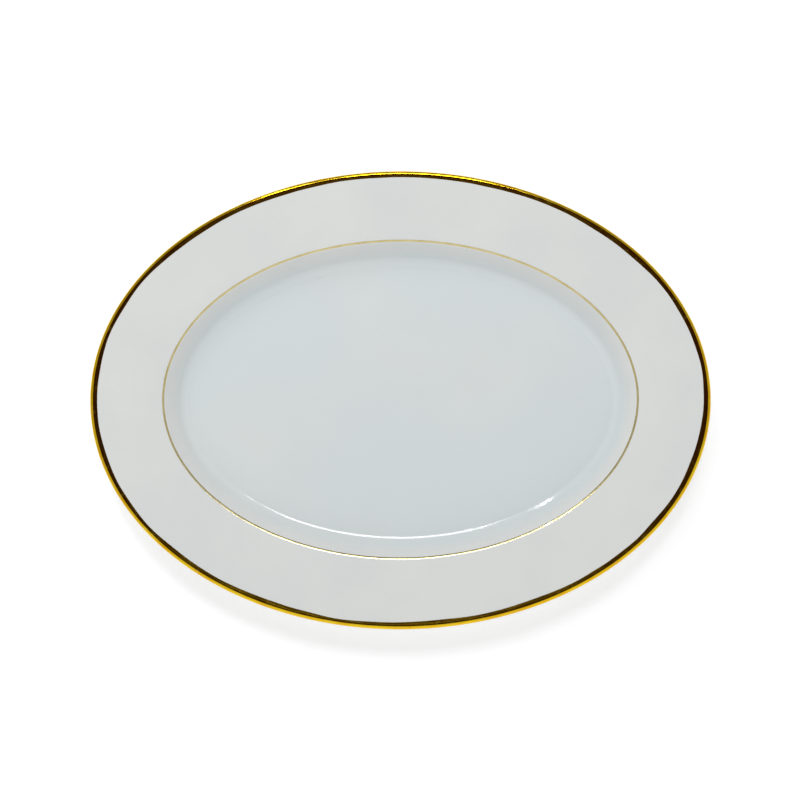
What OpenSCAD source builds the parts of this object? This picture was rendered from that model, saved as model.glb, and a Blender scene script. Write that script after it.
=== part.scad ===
// Oval porcelain serving platter with gilded lip and verge line.
// The platter stands on its foot ring at z = 0. The origin is the centre of the standing plane,
// +X runs along the long axis, +Y along the short axis and +Z up. All sizes are in millimetres.
//
// One section, drawn as distance in from the clay edge (d) against height (z), is swept round an
// oval of eight circular arcs, so every layer keeps one thickness all the way round.

/* [Overall size] */

// Length of the finished platter, over the gilding
platter_l = 350; // [300:1:420]
// Width of the finished platter, over the gilding
platter_w = 260; // [216:1:312]
// Height from the table to the top of the lip
platter_h = 26; // [22:0.5:32]

/* [Rim] */

// Width of the rim, from the clay edge in to the verge
rim_w = 38.5; // [32:0.5:46]
// Thickness of the clay at the rounded lip
lip_t = 3.2; // [2.6:0.1:3.8]
// Thickness of the clay at the verge and down the coved wall
wall_t = 4.2; // [3.5:0.1:5]

/* [Well] */

// Drop from the verge to the floor of the well
well_depth = 12; // [10:0.5:14.5]
// Width of the coved wall, from the verge in to the flat floor
cove_w = 15.9; // [15:0.1:17.5]
// Radius of the concave cove at the foot of the wall
cove_r = 9; // [7.5:0.5:9.5]
// Radius of the convex verge at the head of the wall
verge_r = 3.5; // [2.5:0.5:4]
// Thickness of the clay floor
floor_t = 4.2; // [3.5:0.1:5]

/* [Underside] */

// Depth of the recess inside the foot ring
foot_h = 2.6; // [2.2:0.1:3.1]
// Width of the foot ring at the table
foot_w = 3.8; // [3.2:0.1:4.5]
// How far the outside of the foot ring stands outside the edge of the flat floor
foot_out = 5.6; // [4.7:0.1:6.7]
// How much the foot ring widens towards its root, on each side
foot_draft = 0.2; // [0.1:0.05:0.3]
// Radius worked on the two edges of the standing face
foot_r = 0.8; // [0.6:0.1:0.9]
// Radius of the bend under the verge
shoulder_r = 7; // [6:0.5:8.5]
// Radius where the wall meets the outside of the foot ring
heel_r = 1.6; // [1.3:0.1:1.9]
// Radius where the inside of the foot ring meets the base
root_r = 1; // [0.8:0.1:1.2]

/* [Glaze and gilding] */

// Thickness of the glaze
glaze_t = 0.3; // [0.25:0.01:0.36]
// Thickness of the fired gold
gold_t = 0.1; // [0.08:0.01:0.12]
// Width of the gold band on the face, from the outermost edge in
band_w = 3.8; // [3.2:0.1:4.6]
// How far the gold band runs on under the lip
band_wrap = 1.2; // [1:0.1:1.5]
// Width of the gold line on the verge
line_w = 1.2; // [0.8:0.05:1.35]
// How far the gold line starts below the edge of the rim
line_drop = 0.3; // [0.2:0.05:0.4]

/* [Hidden] */

$fn = 120;

// Heights of the bare clay, built up from the table
z_base = foot_h;
z_floor = z_base + floor_t;
z_verge = z_floor + well_depth;
z_top = platter_h - glaze_t - gold_t;
lip_r = lip_t / 2;

// Half length and half width of the bare clay
clay_a = platter_l / 2 - glaze_t - gold_t;
clay_b = platter_w / 2 - glaze_t - gold_t;

// Distances in from the clay edge to the outside and the inside of the foot ring
floor_d = rim_w + cove_w;
foot_d = floor_d - foot_out;
base_d = foot_d + foot_w;

// Direction the surface faces on the straight run between two bends that follow each other
function run_facing(from, to) =
    let (gap = [to[0] - from[0], to[1] - from[1]])
    (atan2(gap[1], gap[0]) - acos((from[2] - to[2]) / norm(gap)) + 360) % 360;

// The bends of the section, walked from the floor of the well over the lip to the base with the
// clay on the left hand. Each is [d, z, radius], and a radius below zero is a hollow.
cove = [floor_d, z_floor + cove_r, -cove_r];
verge = [rim_w, z_verge - verge_r, verge_r];
lip = [lip_r, z_top - lip_r, lip_r];

// The underside of the wall runs parallel to its face, one wall thickness behind it, so the bend
// under the verge is centred where its round touches that line
wall_facing = run_facing(cove, verge);
back_reach = verge[0] * cos(wall_facing) + verge[1] * sin(wall_facing) + verge_r - wall_t;
shoulder_z = z_verge - wall_t - shoulder_r;
shoulder_d = (back_reach - shoulder_r - shoulder_z * sin(wall_facing)) / cos(wall_facing);
shoulder = [shoulder_d, shoulder_z, -shoulder_r];
belly = [floor_d, z_floor + cove_r, cove_r + wall_t];

// The heel sits just clear of touching the belly, so that a short straight run joins the two
heel_gap = 0.1;
heel_d = foot_d - foot_draft - heel_r;
heel_reach = belly[2] + heel_r + heel_gap;
heel = [heel_d, belly[1] - sqrt(pow(heel_reach, 2) - pow(belly[0] - heel_d, 2)), -heel_r];

foot_outer = [foot_d + foot_r, foot_r, foot_r];
foot_inner = [base_d - foot_r, foot_r, foot_r];
root = [base_d + foot_draft + root_r, z_base - root_r, -root_r];

BENDS = [cove, verge, lip, shoulder, belly, heel, foot_outer, foot_inner, root];
COVE = 0;
VERGE = 1;
LIP = 2;
HEEL = 5;
FOOT_OUTER = 6;
FOOT_INNER = 7;
ROOT = 8;

// Steps each bend is drawn in. On the verge they run from the wall up to the gold line
STEPS = [8, 4, 10, 4, 3, 3, 3, 3, 3];
line_steps = 3;

// Directions the surface faces where bend i starts and where it ends
function normal_in(i) = i == COVE ? 90 : run_facing(BENDS[i - 1], BENDS[i]);
function normal_out(i) = i == ROOT ? 270 : run_facing(BENDS[i], BENDS[i + 1]);

// Points of the section are held to this fine a grid, so that neighbouring arcs share them exactly
grid = 0.001;
function snap(x) = round(x / grid) * grid;

// Point where bend i faces the given way, lifted off the clay and moved on along the run there
function bend_point(i, facing, lift, onward = 0) =
    let (out = [cos(facing), sin(facing)], along = [-sin(facing), cos(facing)])
    let (p = [BENDS[i][0], BENDS[i][1]] + (BENDS[i][2] + lift) * out + onward * along)
    [snap(p[0]), snap(p[1])];

// Ways that the lower and the upper edge of the gold line face, on the glaze over the verge
glaze_turn = 180 / PI / (verge_r + glaze_t);
line_head = normal_out(VERGE) - line_drop * glaze_turn;
line_foot = line_head - line_w * glaze_turn;

// Ways the surface faces after each step from one facing to another
function turning(from, to, steps) = [for (k = [1 : steps]) from + (to - from) * k / steps];

// Ways the surface faces at the points bend i is drawn in. The verge also breaks at the edges of
// the gold line, so that the line lies on the glaze point for point
function facings(i) =
    concat([normal_in(i)],
           i == VERGE
               ? concat(turning(normal_in(i), line_foot, STEPS[i]),
                        turning(line_foot, line_head, line_steps), [normal_out(i)])
               : turning(normal_in(i), normal_out(i), STEPS[i]));

// Points round bend i, lifted off the clay by the given thickness
function bend(i, lift) = [for (facing = facings(i)) bend_point(i, facing, lift)];

// Points along the surface from the first bend to the last
function skin(first, last, lift) = [for (i = [first : last]) for (p = bend(i, lift)) p];

function reversed(points) = [for (i = [len(points) - 1 : -1 : 0]) points[i]];

// Eight arcs make the oval. A quarter of it breaks where the edge faces along the slope of a
// 3-4-5 triangle and of a 7-24-25 triangle, so every centre and joint falls on a round number.
end_break = [4 / 5, 3 / 5];
side_break = [7 / 25, 24 / 25];

// The end radius sits a little over that of a true ellipse
end_fullness = 1.03;
end_grid = 0.1;
end_rad = round(end_fullness * clay_b * clay_b / clay_a / end_grid) * end_grid;

// The two steps in radius that close the quarter exactly on the half length and the half width
close_x = clay_a - end_rad;
close_y = clay_b - end_rad;
det = end_break[0] * (1 - side_break[1]) - side_break[0] * (1 - end_break[1]);
first_step = (close_x * (1 - side_break[1]) - close_y * side_break[0]) / det;
second_step = (close_y * end_break[0] - close_x * (1 - end_break[1])) / det;
quarter_rad = end_rad + first_step;
side_rad = quarter_rad + second_step;

end_c = [clay_a - end_rad, 0];
quarter_c = end_c - first_step * end_break;
side_c = quarter_c - second_step * side_break;

function flip(v, x, y) = [v[0] * x, v[1] * y];

// Each arc is [centre, radius at the clay edge, direction it starts at, direction it ends at]
ARCS = [
    [end_c, end_rad, flip(end_break, 1, -1), end_break],
    [quarter_c, quarter_rad, end_break, side_break],
    [side_c, side_rad, side_break, flip(side_break, -1, 1)],
    [flip(quarter_c, -1, 1), quarter_rad, flip(side_break, -1, 1), flip(end_break, -1, 1)],
    [-end_c, end_rad, flip(end_break, -1, 1), -end_break],
    [-quarter_c, quarter_rad, -end_break, -side_break],
    [-side_c, side_rad, -side_break, flip(side_break, 1, -1)],
    [flip(quarter_c, 1, -1), quarter_rad, flip(side_break, 1, -1), flip(end_break, 1, -1)]
];

// The swept section laps this far over the flat plate that fills the middle
lap = 1.5;
plate_d = root[0] + lap;
inner_d = plate_d + lap;

// Steps each arc of the plate's outline is drawn in
plate_steps = 12;

function outline_point(arc, k) =
    let (start = atan2(arc[2][1], arc[2][0]))
    let (turn = (atan2(arc[3][1], arc[3][0]) - start + 360) % 360)
    let (facing = start + turn * k / plate_steps)
    arc[0] + (arc[1] - plate_d) * [cos(facing), sin(facing)];

function plate_outline() = [for (a = ARCS) for (k = [0 : plate_steps - 1]) outline_point(a, k)];

// Sweep a section of [d, z] points round the oval. Each arc is a full turn of the section, of
// which the share between the arc's two directions is kept.
module swept(section) {
    for (a = ARCS)
        translate(a[0])
            intersection() {
                rotate([0, 0, a[0][0] > 0 ? 180 : 0])
                    rotate_extrude()
                        polygon([for (p = section) [a[1] - p[0], p[1]]]);
                linear_extrude(height = 2 * platter_h, center = true)
                    polygon([[0, 0], 2 * a[1] * a[2], 2 * a[1] * a[3]]);
            }
}

// Flat plate that fills the middle between two heights
module plate(z_low, z_high) {
    translate([0, 0, z_low])
        linear_extrude(height = z_high - z_low)
            polygon(plate_outline());
}

// One fired piece: floor, coved wall, rim, rounded lip and foot ring
module porcelain_body() {
    color("whitesmoke") {
        swept(concat([[inner_d, z_floor]], skin(COVE, ROOT, 0), [[inner_d, z_base]]));
        plate(z_base, z_floor);
    }
}

// Glaze over the face, round the lip and down to the standing edge of the foot ring
module glaze_coat() {
    function side(lift) = concat([[inner_d, z_floor + lift]], skin(COVE, HEEL, lift),
                                 [bend_point(FOOT_OUTER, normal_in(FOOT_OUTER), lift)]);
    color("aliceblue") {
        swept(concat(side(glaze_t), reversed(side(0))));
        plate(z_floor, z_floor + glaze_t);
    }
}

// Glaze over the base, inside the foot ring
module base_glaze() {
    function side(lift) = concat([bend_point(FOOT_INNER, normal_out(FOOT_INNER), lift)],
                                 skin(ROOT, ROOT, lift), [[inner_d, z_base - lift]]);
    color("azure") {
        swept(concat(side(glaze_t), reversed(side(0))));
        plate(z_base - glaze_t, z_base);
    }
}

// Gold round the lip: a strip on the face, the whole round of the lip and a turn underneath
module rim_gold_band() {
    top_facing = normal_in(LIP);
    under_facing = normal_out(LIP);
    top_run = (band_w - lip_r) / sin(top_facing);
    function side(lift) = concat([bend_point(LIP, top_facing, lift, -top_run)], bend(LIP, lift),
                                 [bend_point(LIP, under_facing, lift, band_wrap)]);
    color("goldenrod")
        swept(concat(side(glaze_t + gold_t), reversed(side(glaze_t))));
}

// Gold line on the verge, just below the edge of the rim
module verge_gold_line() {
    function side(lift) = [
        for (facing = concat([line_foot], turning(line_foot, line_head, line_steps)))
            bend_point(VERGE, facing, lift)
    ];
    color("gold")
        swept(concat(side(glaze_t + gold_t), reversed(side(glaze_t))));
}

porcelain_body();
glaze_coat();
base_glaze();
rim_gold_band();
verge_gold_line();
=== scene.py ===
# %% [markdown]
# # A gilded oval serving platter
# The real thing is one piece of hard porcelain, dipped in clear glaze, fired, then painted with
# liquid gold on the lip and on the verge of the well and fired once more. The exact solids come
# from the CAD frame. Here every layer is swept again more finely, so that light runs smoothly
# round the lip, the verge and the cove, and each gets the finish of its real material.

# %% Load the frame
import math

import bpy
import numpy as np
from mathutils import Matrix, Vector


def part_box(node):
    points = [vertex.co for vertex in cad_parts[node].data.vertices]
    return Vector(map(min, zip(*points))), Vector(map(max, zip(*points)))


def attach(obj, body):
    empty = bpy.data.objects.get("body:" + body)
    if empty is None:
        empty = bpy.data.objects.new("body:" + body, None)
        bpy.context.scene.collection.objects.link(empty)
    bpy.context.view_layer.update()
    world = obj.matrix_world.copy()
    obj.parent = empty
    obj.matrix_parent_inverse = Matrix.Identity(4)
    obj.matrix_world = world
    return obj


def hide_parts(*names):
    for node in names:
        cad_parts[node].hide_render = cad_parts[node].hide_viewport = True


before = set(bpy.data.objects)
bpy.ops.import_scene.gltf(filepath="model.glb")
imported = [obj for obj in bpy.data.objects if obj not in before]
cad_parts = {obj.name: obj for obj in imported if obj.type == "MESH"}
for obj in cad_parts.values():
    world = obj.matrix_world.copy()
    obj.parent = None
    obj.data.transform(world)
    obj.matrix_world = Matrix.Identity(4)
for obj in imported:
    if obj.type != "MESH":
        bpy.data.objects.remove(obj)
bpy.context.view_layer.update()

# %% [markdown]
# ## Helpers
# Sizes are easiest to read in millimetres and colours as sRGB hex, but Blender wants metres and
# linear light, so each has one place where it is turned over. Node trees get long, so a few short
# functions add one node and hand back its result.

# %% Units and colours
MM = 0.001


def linear(hex_colour):
    """An sRGB hex colour as linear red, green, blue and alpha."""
    channels = [int(hex_colour[i:i + 2], 16) / 255 for i in (1, 3, 5)]
    return [c / 12.92 if c <= 0.04045 else ((c + 0.055) / 1.055) ** 2.4 for c in channels] + [1]


print("mid grey is", round(linear("#808080")[0], 3), "in linear light")


# %% One node at a time
def node(tree, kind, inputs=None, **settings):
    """Add a node, set its properties, and fill or link its inputs by name or number."""
    made = tree.nodes.new(kind)
    for name, value in settings.items():
        setattr(made, name, value)
    for key, value in (inputs or {}).items():
        if isinstance(value, bpy.types.NodeSocket):
            tree.links.new(value, made.inputs[key])
        else:
            made.inputs[key].default_value = value
    return made


def reckon(tree, operation, *values):
    """The result of one maths node."""
    return node(tree, "ShaderNodeMath", dict(enumerate(values)), operation=operation).outputs[0]


def noise(tree, place, size, detail):
    """Cloudy noise between 0 and 1 whose lumps are about that size, in metres."""
    return node(tree, "ShaderNodeTexNoise",
                {"Vector": place, "Scale": 1 / size, "Detail": detail}).outputs[0]


# %% [markdown]
# ## The section of the platter
# A potter thinks of a platter as one section turned round an oval. The section is a chain of
# bends, each a circle that is either full (clay inside it) or hollow (air inside it), joined by
# straight runs that touch both circles. The length, the width, the height and the thickness of
# glaze and gold are read from the frame, so the outer edge matches the exact solids, apart from
# the slight warp given to the rim below.

# %% Sizes read from the frame
HALF_LENGTH, HALF_WIDTH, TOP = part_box("porcelain_body")[1]
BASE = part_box("base_glaze")[1][2]
glaze_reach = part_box("glaze_coat")[1][0]
gold_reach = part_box("rim_gold_band")[1][0]
GLAZE = glaze_reach - HALF_LENGTH
GOLD = gold_reach - glaze_reach
print(f"clay {2 * HALF_LENGTH / MM:.1f} x {2 * HALF_WIDTH / MM:.1f} mm, {TOP / MM:.1f} mm high, "
      f"glaze {GLAZE / MM:.2f} mm, gold {GOLD / MM:.2f} mm")

# %% Sizes of the section, in metres
RIM_W, WELL_DEPTH, COVE_W = 38.5 * MM, 12 * MM, 15.9 * MM
COVE_R, VERGE_R, LIP_R = 9 * MM, 3.5 * MM, 1.6 * MM
FLOOR_T, WALL_T = 4.2 * MM, 4.2 * MM
FOOT_OUT, FOOT_W, FOOT_R, FOOT_DRAFT = 5.6 * MM, 3.8 * MM, 0.8 * MM, 0.2 * MM
SHOULDER_R, HEEL_R, ROOT_R, HEEL_GAP = 7 * MM, 1.6 * MM, 1 * MM, 0.1 * MM
BAND_W, BAND_WRAP, LINE_W, LINE_DROP = 3.8 * MM, 1.2 * MM, 1.2 * MM, 0.3 * MM
print(f"the flat floor starts {(RIM_W + COVE_W) / MM:.1f} mm in from the edge of the clay")

# %% The chain of bends
# Each bend is a centre (distance in from the edge, height) and a radius, negative where hollow


def run_facing(a, b):
    """The way the surface faces, in radians, on the straight run from bend a to bend b."""
    gap = b[:2] - a[:2]
    facing = math.atan2(gap[1], gap[0]) - math.acos((a[2] - b[2]) / np.hypot(*gap))
    return facing % (2 * math.pi)


floor = BASE + FLOOR_T
verge_z = floor + WELL_DEPTH
floor_d = RIM_W + COVE_W
foot_d = floor_d - FOOT_OUT
base_d = foot_d + FOOT_W
cove = np.array([floor_d, floor + COVE_R, -COVE_R])
verge = np.array([RIM_W, verge_z - VERGE_R, VERGE_R])
lip = np.array([LIP_R, TOP - LIP_R, LIP_R])
wall_facing = run_facing(cove, verge)
back_reach = verge[0] * math.cos(wall_facing) + verge[1] * math.sin(wall_facing) + VERGE_R - WALL_T
shoulder_z = verge_z - WALL_T - SHOULDER_R
shoulder_d = (back_reach - SHOULDER_R - shoulder_z * math.sin(wall_facing)) / math.cos(wall_facing)
shoulder = np.array([shoulder_d, shoulder_z, -SHOULDER_R])
belly = np.array([floor_d, floor + COVE_R, COVE_R + WALL_T])
heel_d = foot_d - FOOT_DRAFT - HEEL_R
heel_drop = math.sqrt((belly[2] + HEEL_R + HEEL_GAP) ** 2 - (belly[0] - heel_d) ** 2)
heel = np.array([heel_d, belly[1] - heel_drop, -HEEL_R])
foot_outer = np.array([foot_d + FOOT_R, FOOT_R, FOOT_R])
foot_inner = np.array([base_d - FOOT_R, FOOT_R, FOOT_R])
root = np.array([base_d + FOOT_DRAFT + ROOT_R, BASE - ROOT_R, -ROOT_R])

BENDS = [cove, verge, lip, shoulder, belly, heel, foot_outer, foot_inner, root]
COVE, VERGE, LIP, SHOULDER, BELLY, HEEL, FOOT_OUTER, FOOT_INNER, ROOT = range(9)
STEPS = [22, 14, 26, 8, 6, 6, 6, 6, 5]
facing_in = [math.pi / 2] + [run_facing(BENDS[i - 1], BENDS[i]) for i in range(1, 9)]
facing_out = facing_in[1:] + [1.5 * math.pi]
print("the rim falls", round(90 - math.degrees(facing_out[VERGE]), 1), "degrees and the wall",
      round(90 - math.degrees(wall_facing), 1), "degrees")


# %% Walking the section
def bend_point(i, facing, lift, onward=0):
    """Where bend i faces that way, lifted off the clay, and moved on along the run there."""
    out = np.array([math.cos(facing), math.sin(facing)])
    along = np.array([-out[1], out[0]])
    return BENDS[i][:2] + (BENDS[i][2] + lift) * out + onward * along


def bend_round(i, lift):
    """The points of one bend, from where the section comes on to it to where it leaves."""
    facings = np.linspace(facing_in[i], facing_out[i], STEPS[i] + 1)
    return [bend_point(i, facing, lift) for facing in facings]


RUN_STEP, RUN_GUARD = 4 * MM, 0.3 * MM


def with_runs(points):
    """Split each long straight run, with a close point at each end to hold the bends' shading."""
    out = [points[0]]
    for a, b in zip(points, points[1:]):
        length = np.linalg.norm(b - a)
        if length > 4 * RUN_GUARD:
            near, far = a + (b - a) * RUN_GUARD / length, b - (b - a) * RUN_GUARD / length
            count = max(1, round(length / RUN_STEP))
            out += [near + (far - near) * k / count for k in range(count + 1)]
        out.append(b)
    return out


def skin(first, last, lift):
    """The points of several bends in turn, all lifted by the same thickness."""
    return [p for i in range(first, last + 1) for p in bend_round(i, lift)]


print("the face alone has", len(with_runs(skin(COVE, LIP, 0))), "points")


# %% [markdown]
# ## Sweeping the section round the oval
# Spin and Screw only make circles, and a curve bevel twists on an oval. A Geometry Nodes tree
# does it exactly: it lays out a grid with one row for each step round the oval and one column for
# each point of the section, then sends each grid point to its place. One tree serves the clay,
# the glaze and both bands of gold, so the layers always lie on each other. Clay moves as it
# dries and a brush is never quite steady, so the tree also has inputs for a slight warp of the
# rim and for the waver of a painted edge.

# %% The sweep tree
SWEEP_INPUTS = [
    ("Half length", "NodeSocketFloat"), ("Half width", "NodeSocketFloat"),
    ("Side pull", "NodeSocketFloat"), ("Steps round", "NodeSocketInt"),
    ("Rim width", "NodeSocketFloat"), ("Rim slope", "NodeSocketFloat"),
    ("Warp", "NodeSocketFloat"), ("Wander", "NodeSocketFloat"),
    ("Stroke start", "NodeSocketFloat"), ("Stroke swing", "NodeSocketFloat"),
    ("Material", "NodeSocketMaterial"),
]
sweep = bpy.data.node_groups.new("Oval sweep", "GeometryNodeTree")
sweep.interface.new_socket("Geometry", in_out="INPUT", socket_type="NodeSocketGeometry")
sweep.interface.new_socket("Geometry", in_out="OUTPUT", socket_type="NodeSocketGeometry")
for label, kind in SWEEP_INPUTS:
    sweep.interface.new_socket(label, in_out="INPUT", socket_type=kind)
given = node(sweep, "NodeGroupInput").outputs

# %% The grid, and which point of the section each of its points stands for
count = node(sweep, "GeometryNodeAttributeDomainSize", {"Geometry": given["Geometry"]},
             component="MESH").outputs["Point Count"]
rows = reckon(sweep, "ADD", given["Steps round"], 1)
grid = node(sweep, "GeometryNodeMeshGrid", {"Vertices X": rows, "Vertices Y": count})
index = node(sweep, "GeometryNodeInputIndex").outputs[0]
share = reckon(sweep, "DIVIDE", index, count)
row = reckon(sweep, "FLOOR", share)
column = reckon(sweep, "MODULO", index, count)
place = node(sweep, "GeometryNodeInputPosition").outputs[0]
sampled = node(sweep, "GeometryNodeSampleIndex",
               {"Geometry": given["Geometry"], "Value": place, "Index": column},
               data_type="FLOAT_VECTOR", domain="POINT").outputs[0]
section = node(sweep, "ShaderNodeSeparateXYZ", {0: sampled}).outputs
turn = reckon(sweep, "DIVIDE", row, given["Steps round"])
angle = reckon(sweep, "MULTIPLY", turn, 2 * math.pi)
cosine = reckon(sweep, "COSINE", angle)
sine = reckon(sweep, "SINE", angle)

# %% The waver of a painted edge
WAVE_LENGTH, SWING_LENGTH = 26 * MM, 60 * MM
rim_x = reckon(sweep, "MULTIPLY", cosine, given["Half length"])
rim_y = reckon(sweep, "MULTIPLY", sine, given["Half width"])
rim_at = node(sweep, "ShaderNodeCombineXYZ", {0: rim_x, 1: rim_y}).outputs[0]
hand = noise(sweep, rim_at, WAVE_LENGTH, 1.0)
hand_even = reckon(sweep, "MULTIPLY_ADD", hand, 2, -1)
stroke = noise(sweep, rim_at, SWING_LENGTH, 2.0)
stroke_even = reckon(sweep, "MULTIPLY_ADD", stroke, 2, -1)
wander = reckon(sweep, "MULTIPLY", hand_even, given["Wander"])
past = reckon(sweep, "SUBTRACT", section[0], given["Stroke start"])
beyond = reckon(sweep, "MAXIMUM", past, 0)
swing = reckon(sweep, "MULTIPLY", stroke_even, given["Stroke swing"])
shift = reckon(sweep, "MULTIPLY_ADD", beyond, swing, wander)
inward = reckon(sweep, "ADD", section[0], shift)
slid = reckon(sweep, "MULTIPLY", shift, given["Rim slope"])
height = reckon(sweep, "SUBTRACT", section[2], slid)

# %% Each point's place on its own oval
across = reckon(sweep, "MULTIPLY", inward, given["Side pull"])
long_r = reckon(sweep, "SUBTRACT", given["Half length"], inward)
short_r = reckon(sweep, "SUBTRACT", given["Half width"], across)
full = reckon(sweep, "SUBTRACT", 1, section[1])
long_cos = reckon(sweep, "MULTIPLY", long_r, cosine)
short_sin = reckon(sweep, "MULTIPLY", short_r, sine)
x = reckon(sweep, "MULTIPLY", long_cos, full)
y = reckon(sweep, "MULTIPLY", short_sin, full)

# %% The warp of the fired rim, which fades out at the verge
WARP_LENGTH = 130 * MM
flat_at = node(sweep, "ShaderNodeCombineXYZ", {0: x, 1: y}).outputs[0]
sag = noise(sweep, flat_at, WARP_LENGTH, 0.0)
rim_share = node(sweep, "ShaderNodeMapRange",
                 {"Value": inward, "From Min": given["Rim width"], "From Max": 0.0},
                 interpolation_type="SMOOTHSTEP").outputs[0]
depth = reckon(sweep, "MULTIPLY", given["Warp"], rim_share)
fall = reckon(sweep, "MULTIPLY", depth, sag)
z = reckon(sweep, "SUBTRACT", height, fall)
target = node(sweep, "ShaderNodeCombineXYZ", {0: x, 1: y, 2: z}).outputs[0]

# %% Turn the faces outwards, close the seam and poles, and keep true corners sharp
SEAM = 0.001 * MM
CORNER = math.radians(40)
track = node(sweep, "ShaderNodeCombineXYZ", {0: rim_x, 1: rim_y, 2: section[0]}).outputs[0]
tracked = node(sweep, "GeometryNodeStoreNamedAttribute",
               {"Geometry": grid.outputs["Mesh"], "Name": "track", "Value": track},
               data_type="FLOAT_VECTOR", domain="POINT")
placed = node(sweep, "GeometryNodeSetPosition",
              {"Geometry": tracked.outputs[0], "Position": target})
outward = node(sweep, "GeometryNodeFlipFaces", {"Mesh": placed.outputs[0]})
closed = node(sweep, "GeometryNodeMergeByDistance",
              {"Geometry": outward.outputs[0], "Distance": SEAM})
soft = node(sweep, "GeometryNodeSetShadeSmooth",
            {"Geometry": closed.outputs[0], "Shade Smooth": True})
fold = node(sweep, "GeometryNodeInputMeshEdgeAngle").outputs["Unsigned Angle"]
is_corner = reckon(sweep, "GREATER_THAN", fold, CORNER)
crisp = node(sweep, "GeometryNodeSetShadeSmooth",
             {"Geometry": soft.outputs[0], "Selection": is_corner, "Shade Smooth": False},
             domain="EDGE")
real = node(sweep, "GeometryNodeRealizeInstances", {"Geometry": crisp.outputs[0]})
painted = node(sweep, "GeometryNodeSetMaterial",
               {"Geometry": real.outputs[0], "Material": given["Material"]})
node(sweep, "NodeGroupOutput", {"Geometry": painted.outputs[0]})
print("sweep tree has", len(sweep.nodes), "nodes")
SWEEP_ID = {item.name: item.identifier for item in sweep.interface.items_tree
            if item.in_out == "INPUT"}

# %% Run the tree on one section and keep the plain mesh
ROUND = 288
# The rim is a little narrower along the long sides than at the ends
SIDE_PULL = 0.972
RIM_SLOPE = math.tan(math.pi / 2 - facing_out[VERGE])
WARP = 0.35 * MM


def swept_piece(name, points, material, **inputs):
    """A piece swept from [inward, shrink, height] points, as a plain mesh with its place in it."""
    outline = bpy.data.meshes.new(name + "_section")
    outline.from_pydata([tuple(float(v) for v in p) for p in points], [], [])
    piece = bpy.data.objects.new(name, outline)
    bpy.context.scene.collection.objects.link(piece)
    turned = piece.modifiers.new("Oval sweep", "NODES")
    turned.node_group = sweep
    values = {"Half length": HALF_LENGTH, "Half width": HALF_WIDTH, "Side pull": SIDE_PULL,
              "Steps round": ROUND, "Rim width": RIM_W, "Rim slope": RIM_SLOPE, "Warp": WARP,
              "Wander": 0.0, "Stroke start": 0.0, "Stroke swing": 0.0, "Material": material}
    for label, value in {**values, **inputs}.items():
        turned[SWEEP_ID[label]] = value
    mesh = bpy.data.meshes.new_from_object(
        piece.evaluated_get(bpy.context.evaluated_depsgraph_get()))
    piece.modifiers.clear()
    piece.data = mesh
    mesh.name = name
    bpy.data.meshes.remove(outline)
    corners = np.empty(len(mesh.vertices) * 3)
    mesh.vertices.foreach_get("co", corners)
    corners = corners.reshape(-1, 3)
    mesh.calc_loop_triangles()
    tris = np.empty(len(mesh.loop_triangles) * 3, dtype=int)
    mesh.loop_triangles.foreach_get("vertices", tris)
    a, b, c = (corners[tris.reshape(-1, 3)[:, k]] for k in range(3))
    volume = float(np.einsum("ij,ij->i", a, np.cross(b, c)).sum() / 6)
    print(f"{name}: {len(tris) // 3} triangles, {volume * 1e9:.0f} mm3")
    return piece


def on_section(points):
    """Section points that lie on the swept part, where nothing shrinks."""
    return [(d, 0.0, h) for d, h in points]


# The flat middle is a fan of ovals, each a smaller copy of the one at the edge of the flat
FAN = [0.06, 0.16, 0.3, 0.46, 0.64, 0.82, 1.0]


def fan(edge_d, height, inwards=True):
    """The flat middle at one height, from its edge to the pole or from the pole to its edge."""
    ring = [(edge_d, shrink, height) for shrink in FAN]
    return ring if inwards else ring[::-1]


# %% [markdown]
# ## Porcelain under its glaze
# Hard porcelain is white and a little glassy, and its clear glaze is a true glass: a mirror that
# sends back about four parts in a hundred straight on and far more at a glancing angle. Where it
# pools in the well it is thicker and takes on a cool tint. Close to, it is not quite even: there
# is a faint orange peel, a few iron specks, and fine marks from cutlery in the well. Painting
# clay and glaze as one finish is quicker than tracing light through a third of a millimetre of
# glass, and looks the same.


# %% A new material with its nodes
def new_material(name):
    """An empty node material and its tree."""
    made = bpy.data.materials.new(name)
    made.use_nodes = True
    made.node_tree.nodes.clear()
    return made, made.node_tree


def mixed(tree, factor, a, b):
    """A blend from colour a to colour b, each a hex colour or a socket."""
    ends = [linear(c) if isinstance(c, str) else c for c in (a, b)]
    return node(tree, "ShaderNodeMix", {0: factor, 6: ends[0], 7: ends[1]},
                data_type="RGBA").outputs[2]


def spread(tree, value, low, high, to_low, to_high, **settings):
    """A value between low and high, stretched to run between to_low and to_high."""
    ends = {"Value": value, "From Min": low, "From Max": high,
            "To Min": to_low, "To Max": to_high}
    return node(tree, "ShaderNodeMapRange", ends, **settings).outputs[0]


# %% Glazed hard porcelain, dipped and fired: smooth, cool white, glass-bright
glazed, tree = new_material("glazed_hard_porcelain")
where = node(tree, "ShaderNodeTexCoord").outputs["Object"]
level = node(tree, "ShaderNodeSeparateXYZ", {0: where}).outputs[2]

CLOUD, PATCH = 42 * MM, 95 * MM
cloud = noise(tree, where, CLOUD, 4.0)
patch = noise(tree, where, PATCH, 1.0)
warmth = spread(tree, cloud, 0.35, 0.65, 0.0, 1.0)
white = mixed(tree, warmth, "#DCDFDE", "#E1E3E0")
in_well = spread(tree, level, verge_z, floor + GLAZE, 0.0, 1.0,
                 interpolation_type="SMOOTHSTEP")
thick = spread(tree, patch, 0.3, 0.7, 0.35, 0.9)
pooled = reckon(tree, "MULTIPLY", in_well, thick)
cool_white = mixed(tree, pooled, white, "#D6DFE1")

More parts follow.
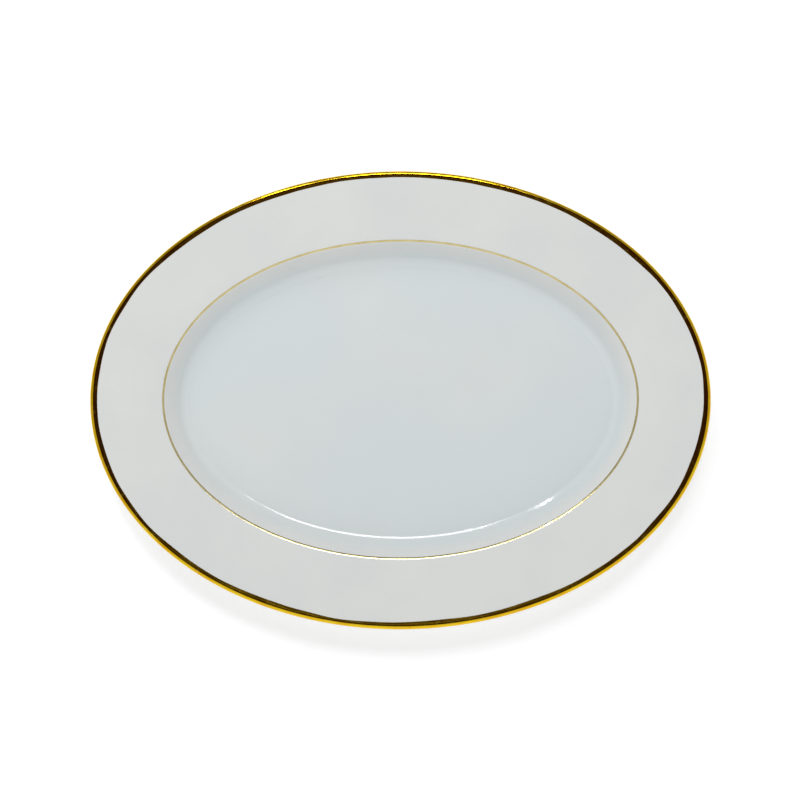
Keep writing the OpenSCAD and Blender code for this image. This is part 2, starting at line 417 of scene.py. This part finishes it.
# %% Iron specks: a pinch of dark grains, each in its own cell of a loose net
SPECK_GAP, SPECK_R, SPECK_KEEP = 11 * MM, 0.28 * MM, 0.93
net = node(tree, "ShaderNodeTexVoronoi", {"Vector": where, "Scale": 1 / SPECK_GAP})
chance = node(tree, "ShaderNodeSeparateColor", {0: net.outputs["Color"]}).outputs[0]
chosen = reckon(tree, "GREATER_THAN", chance, SPECK_KEEP)
SPECK_CORE, SPECK_DARK = 0.4, 0.45
speck_edge = SPECK_R / SPECK_GAP
near = spread(tree, net.outputs["Distance"], SPECK_CORE * speck_edge, speck_edge, SPECK_DARK, 0.0)
speck = reckon(tree, "MULTIPLY", chosen, near)
speckled = mixed(tree, speck, cool_white, "#8A8272")

# %% Cutlery marks: two sets of fine crossing lines, only in the well and only in places
# A real knife mark is a few hundredths of a millimetre wide. These are drawn coarser, so that
# they still show at arm's length.
MARK_GAP, MARK_LONG, MARK_TURNS = 0.9 * MM, 22 * MM, (24, -51)
marks = None
for turn_deg in MARK_TURNS:
    turned = node(tree, "ShaderNodeMapping",
                  {"Vector": where, "Rotation": (0, 0, math.radians(turn_deg)),
                   "Scale": (1 / MARK_LONG, 1 / MARK_GAP, 0)}).outputs[0]
    lines = noise(tree, turned, 1, 0.0)
    thin = spread(tree, lines, 0.70, 0.76, 0.0, 1.0)
    marks = thin if marks is None else reckon(tree, "MAXIMUM", marks, thin)
worn_place = spread(tree, cloud, 0.5, 0.62, 0.0, 1.0)
well_marks = reckon(tree, "MULTIPLY", marks, worn_place)
scratch = reckon(tree, "MULTIPLY", well_marks, in_well)

# %% Gloss and the faint orange peel of the glaze
WIPE, PEEL, PEEL_DEEP, MARK_DEEP = 14 * MM, 5.5 * MM, 0.008 * MM, 0.002 * MM
wipe = noise(tree, where, WIPE, 3.0)
clean = spread(tree, wipe, 0.3, 0.7, 0.045, 0.085)
rough = reckon(tree, "MULTIPLY_ADD", scratch, 0.10, clean)
peel = noise(tree, where, PEEL, 1.5)
ripple = node(tree, "ShaderNodeBump", {"Height": peel, "Distance": PEEL_DEEP}).outputs[0]
cut_in = reckon(tree, "MULTIPLY", scratch, -1)
etched = node(tree, "ShaderNodeBump",
              {"Height": cut_in, "Distance": MARK_DEEP, "Normal": ripple}).outputs[0]
shader = node(tree, "ShaderNodeBsdfPrincipled",
              {"Base Color": speckled, "Roughness": rough, "IOR": 1.5, "Normal": etched})
node(tree, "ShaderNodeOutputMaterial", {"Surface": shader.outputs[0]})
print(glazed.name, "has", len(tree.nodes), "nodes")

# %% [markdown]
# ## Bare porcelain on the foot
# Glaze melts, so the ring that stands on the kiln shelf is wiped clean first. What shows there is
# bare fired clay: matt, faintly gritty, a little warmer than the glaze, and greyed by years of
# being set down on tables.

# %% Biscuit porcelain, wiped and fired bare: matt and dry, with grey rubbed patches
biscuit, tree = new_material("bare_biscuit_porcelain")
where = node(tree, "ShaderNodeTexCoord").outputs["Object"]
GRIT, RUB, TOOTH_DEEP, SOIL_HIGH = 0.5 * MM, 12 * MM, 0.02 * MM, 0.5 * MM
grit = noise(tree, where, GRIT, 3.0)
rub = noise(tree, where, RUB, 5.0)
level = node(tree, "ShaderNodeSeparateXYZ", {0: where}).outputs[2]
touching = spread(tree, level, 0.0, SOIL_HIGH, 0.6, 0.0)
rubbed = spread(tree, rub, 0.45, 0.62, 0.0, 1.0)
grey = reckon(tree, "MULTIPLY", touching, rubbed)
clay_white = mixed(tree, grit, "#E2DED4", "#ECE9E1")
soiled = mixed(tree, grey, clay_white, "#A9A49A")
dry = spread(tree, rub, 0.3, 0.7, 0.72, 0.88)
tooth = node(tree, "ShaderNodeBump", {"Height": grit, "Distance": TOOTH_DEEP}).outputs[0]
shader = node(tree, "ShaderNodeBsdfPrincipled",
              {"Base Color": soiled, "Roughness": dry, "IOR": 1.5, "Normal": tooth})
node(tree, "ShaderNodeOutputMaterial", {"Surface": shader.outputs[0]})
print(biscuit.name, "has", len(tree.nodes), "nodes")

# %% [markdown]
# ## Fired gold
# Liquid gold is brushed on over the glaze and fired until it bonds. It is a real metal film, so
# it only shows what it reflects, tinted yellow: nearly black where it faces a dark ceiling, and
# bright yellow where it faces the room. The brush leaves long fine ridges along the stroke, and
# washing wears the film thin where hands and cloths touch it.


# %% Bright gold, brushed on and fired: a mirror with fine ridges that run along the stroke
# The broad band is laid on thickly and stays bright. The fine line is thin, paler and duller.
STROKE_LONG, RIDGE, RIDGE_DEEP = 14 * MM, 0.45 * MM, 0.004 * MM
FILM, FILM_DEEP, WEAR = 9 * MM, 0.018 * MM, 3 * MM


def fired_gold(name, deep, pale, smoothest, roughest, wear_most):
    """Gold between two colours and two roughnesses, worn to bare glaze here and there."""
    made, tree = new_material(name)
    way = node(tree, "ShaderNodeAttribute", attribute_name="track",
               attribute_type="GEOMETRY").outputs[1]
    brushed = node(tree, "ShaderNodeVectorMath",
                   {0: way, 1: (1 / STROKE_LONG, 1 / STROKE_LONG, 1 / RIDGE)},
                   operation="MULTIPLY").outputs[0]
    ridges = noise(tree, brushed, 1, 2.0)
    where = node(tree, "ShaderNodeTexCoord").outputs["Object"]
    film = noise(tree, where, FILM, 3.0)
    rubbing = noise(tree, where, WEAR, 4.0)
    patchy = spread(tree, film, 0.35, 0.65, 0.0, 1.0)
    yellow = mixed(tree, patchy, deep, pale)
    bare = spread(tree, rubbing, 0.58, 0.74, 0.0, wear_most)
    coloured = mixed(tree, bare, yellow, "#E4DCC6")
    metal = spread(tree, bare, 0.0, 1.0, 1.0, 0.0)
    ridge_rough = spread(tree, ridges, 0.3, 0.7, smoothest, roughest)
    furrow = node(tree, "ShaderNodeBump", {"Height": ridges, "Distance": RIDGE_DEEP}).outputs[0]
    pool = node(tree, "ShaderNodeBump",
                {"Height": film, "Distance": FILM_DEEP, "Normal": furrow}).outputs[0]
    shader = node(tree, "ShaderNodeBsdfPrincipled",
                  {"Base Color": coloured, "Metallic": metal, "Roughness": ridge_rough,
                   "Normal": pool})
    node(tree, "ShaderNodeOutputMaterial", {"Surface": shader.outputs[0]})
    print(name, "has", len(tree.nodes), "nodes")
    return made


band_gold = fired_gold("bright_fired_gold", "#DDAE1A", "#E8C326", 0.07, 0.13, 0.08)
line_gold = fired_gold("thin_fired_gold_line", "#D0C088", "#DED09C", 0.16, 0.27, 0.2)

# %% [markdown]
# ## The body and its two coats of glaze
# Each piece is a section that starts and ends at a pole on the axis, or closes on itself. All are
# walked the same way round, so that the tree can turn every face outwards. The volume printed for
# each piece is positive only when they do face outwards.

# %% The porcelain body
clay_skin = with_runs(skin(COVE, ROOT, 0))
body_points = (fan(floor_d, floor, False) + on_section(clay_skin)
               + fan(clay_skin[-1][0], clay_skin[-1][1]))
body = swept_piece("porcelain_body_fine", body_points, biscuit)
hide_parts("porcelain_body")
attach(body, "root")

# %% The glaze over the face, the lip and the back, which stops above the bare edge of the foot


def glaze_walk(lift):
    """From the floor of the well, over the lip and down the back to the foot."""
    return with_runs(skin(COVE, HEEL, lift) + [bend_point(FOOT_OUTER, facing_in[FOOT_OUTER], lift)])


outside = glaze_walk(GLAZE)
inside = glaze_walk(0)[::-1]
glaze_points = (fan(outside[0][0], outside[0][1], False) + on_section(outside + inside)
                + fan(inside[-1][0], inside[-1][1]))
glaze = swept_piece("glaze_coat_fine", glaze_points, glazed)
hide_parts("glaze_coat")
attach(glaze, "root")

# %% The glaze under the base, inside the foot ring


def base_walk(lift):
    """From the inner side of the foot ring to the flat of the base."""
    start = bend_point(FOOT_INNER, facing_out[FOOT_INNER], lift)
    return with_runs([start] + bend_round(ROOT, lift))


under = base_walk(GLAZE)
onto = base_walk(0)[::-1]
base_points = (fan(onto[0][0], onto[0][1], False) + on_section(onto + under)
               + fan(under[-1][0], under[-1][1]))
base = swept_piece("base_glaze_fine", base_points, glazed)
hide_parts("base_glaze")
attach(base, "root")

# %% [markdown]
# ## The gilding
# Two bands: a broad one over the lip, whose inner edge wavers as the brush is lifted and
# reloaded, and a hairline on the verge of the well. Both lie on top of the glaze. A banding
# wheel does this on a round plate, but an oval is lined by hand.

# %% The gold band over the lip
INNER_STEPS, BAND_STRAIGHT, BAND_SWING = 6, 2 * MM, 0.9


def band_walk(lift):
    """From the inner edge of the band, out over the lip and a little way underneath."""
    reach = (BAND_W - bend_point(LIP, facing_in[LIP], lift)[0]) / math.sin(facing_in[LIP])
    starts = [bend_point(LIP, facing_in[LIP], lift, reach * (k / INNER_STEPS - 1))
              for k in range(INNER_STEPS)]
    return starts + bend_round(LIP, lift) + [bend_point(LIP, facing_out[LIP], lift, BAND_WRAP)]


outer = band_walk(GLAZE + GOLD)
inner = band_walk(GLAZE)[::-1]
band_points = on_section(outer + inner + outer[:1])
band = swept_piece("rim_gold_band_fine", band_points, band_gold,
                   **{"Stroke start": BAND_STRAIGHT, "Stroke swing": BAND_SWING})
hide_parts("rim_gold_band")
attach(band, "root")

# %% The gold line on the verge
LINE_STEPS, LINE_WANDER = 8, 0.1 * MM
line_head = facing_out[VERGE] - LINE_DROP / (VERGE_R + GLAZE)
line_foot = line_head - LINE_W / (VERGE_R + GLAZE)


def line_walk(lift):
    """Up the verge from the foot of the line to its head."""
    facings = np.linspace(line_foot, line_head, LINE_STEPS + 1)
    return [bend_point(VERGE, facing, lift) for facing in facings]


line_top = line_walk(GLAZE + GOLD)
line_points = on_section(line_top + line_walk(GLAZE)[::-1] + line_top[:1])
line_slope = math.tan(math.pi / 2 - (line_head + line_foot) / 2)
hairline = swept_piece("verge_gold_line_fine", line_points, line_gold,
                       **{"Wander": LINE_WANDER, "Rim slope": line_slope})
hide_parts("verge_gold_line")
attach(hairline, "root")

# %% [markdown]
# ## The studio
# Glossy white china shows the room. A product table keeps it simple: a broad white top, a soft
# key lamp high on the far left for the shadow, and a tall window beyond the far rim, whose
# reflection draws the bright arc in the near cove. The ceiling is dim and brown, and seen from
# above flat gold reflects nothing else, which is what makes the band look dark. The key is kept
# out of reflections, so that the window is the only highlight.

# %% White table
TABLE_SIDE, FIBRE, TABLE_GLOW = 40.0, 25 * MM, 0.33
bpy.ops.mesh.primitive_plane_add(size=TABLE_SIDE, location=(0, 0, 0))
table_top = bpy.context.object
table_top.name = "white_table"
paper, tree = new_material("white_studio_table")
where = node(tree, "ShaderNodeTexCoord").outputs["Object"]
fibre = noise(tree, where, FIBRE, 3.0)
paper_white = mixed(tree, fibre, "#EBECEE", "#EFF0F3")
shader = node(tree, "ShaderNodeBsdfPrincipled",
              {"Base Color": paper_white, "Roughness": 0.95, "Specular IOR Level": 0.0,
               "Emission Color": (1, 1, 1, 1), "Emission Strength": TABLE_GLOW})
node(tree, "ShaderNodeOutputMaterial", {"Surface": shader.outputs[0]})
table_top.data.materials.append(paper)

# %% The room: dim overhead, bright all round, and brightest on the near side
DARK_LEAN, DARK_CORE, DARK_EDGE = math.radians(7), math.radians(13), math.radians(23)
BRIGHT, NEAR_SIDE, FAR_WAY = 0.652, 0.70, (-0.12, 0.98, 0)
room = bpy.data.worlds.new("soft_white_room")
bpy.context.scene.world = room
room.use_nodes = True
tree = room.node_tree
tree.nodes.clear()
looking = node(tree, "ShaderNodeTexCoord").outputs["Generated"]
dark_way = (0, math.sin(DARK_LEAN), math.cos(DARK_LEAN))
into_dark = node(tree, "ShaderNodeVectorMath", {0: looking, 1: dark_way},
                 operation="DOT_PRODUCT").outputs["Value"]
away = node(tree, "ShaderNodeVectorMath", {0: looking, 1: FAR_WAY},
            operation="DOT_PRODUCT").outputs["Value"]
ring = spread(tree, into_dark, math.cos(DARK_CORE), math.cos(DARK_EDGE), 0.0, 1.0,
              interpolation_type="SMOOTHSTEP")
wall_paint = mixed(tree, ring, "#3A1C12", "#FBFBFB")
evenness = spread(tree, away, -1.0, 1.0, BRIGHT * (1 + NEAR_SIDE), BRIGHT * (1 - NEAR_SIDE))
sky = node(tree, "ShaderNodeBackground", {"Color": wall_paint, "Strength": evenness}).outputs[0]
node(tree, "ShaderNodeOutputWorld", {"Surface": sky})
print(f"room from {BRIGHT * (1 - NEAR_SIDE):.2f} on the far side to "
      f"{BRIGHT * (1 + NEAR_SIDE):.2f} on the near side")

# %% Area lamps, given by how bright their face is
# In Blender an area lamp's radiance is its power over four times its area
POWER_SHARE = 4


def lamp(name, width, height, radiance, placed):
    """A rectangular lamp of a given radiance, placed and turned by a matrix."""
    lamp_data = bpy.data.lights.new(name, "AREA")
    lamp_data.shape = "RECTANGLE"
    lamp_data.size, lamp_data.size_y = width, height
    lamp_data.energy = radiance * width * height * POWER_SHARE
    made = bpy.data.objects.new(name, lamp_data)
    made.matrix_world = placed
    bpy.context.scene.collection.objects.link(made)
    return made


def turned(degrees, axis):
    """A turn about one axis."""
    return Matrix.Rotation(math.radians(degrees), 4, axis)


# %% The key lamp, aimed at the platter; azimuth 0 is towards +X and 90 towards +Y
KEY_AZIMUTH, KEY_TILT, KEY_DISTANCE, KEY_SIDE, KEY_RADIANCE = 116, 50, 1.3, 0.9, 1.6
aimed = turned(KEY_AZIMUTH, "Z") @ turned(KEY_TILT, "Y")
key = lamp("key_softbox", KEY_SIDE, KEY_SIDE, KEY_RADIANCE,
           aimed @ Matrix.Translation((0, 0, KEY_DISTANCE)))
key.visible_glossy = False
print("key lamp at", [round(v, 2) for v in key.matrix_world.translation])

# %% A tall window on the far side, in three lights set a little apart
WINDOW_Y = 1.5
# Left and right are as seen from the window, looking in. Each light has its name, its place
# along X, the height of its middle, its width, its height, its lean in degrees and its radiance.
WINDOW_LIGHTS = [
    ("window_middle_light", 0.07, 2.78, 0.58, 1.45, 0, 9.5),
    ("window_right_light", -0.48, 2.35, 0.11, 2.1, 5.4, 10.0),
    ("window_left_light", 0.49, 2.95, 0.05, 0.8, -5.7, 10.0),
]
for name, x, z, width, height, lean, radiance in WINDOW_LIGHTS:
    upright = Matrix.Translation((x, WINDOW_Y, z)) @ turned(lean, "Y") @ turned(-90, "X")
    lamp(name, width, height, radiance, upright)
print(len(WINDOW_LIGHTS), "window lights")

# %% Camera: nearly overhead, leaning a little towards the near side
AIM = np.array([-0.3, -1.82, 24]) * MM
CAMERA_D, FOCAL = 0.9, 71.86
LEAN, ROLL = math.radians(6.21), math.radians(-0.24)
camera_data = bpy.data.cameras.new("overhead_camera")
camera_data.lens = FOCAL
camera_data.sensor_width = 36.0
camera = bpy.data.objects.new("overhead_camera", camera_data)
camera.location = AIM + CAMERA_D * np.array([math.sin(LEAN) * math.sin(ROLL),
                                              -math.sin(LEAN) * math.cos(ROLL), math.cos(LEAN)])
camera.rotation_euler = (LEAN, 0, ROLL)
bpy.context.scene.collection.objects.link(camera)
bpy.context.scene.camera = camera
bpy.context.scene.view_settings.view_transform = "Standard"
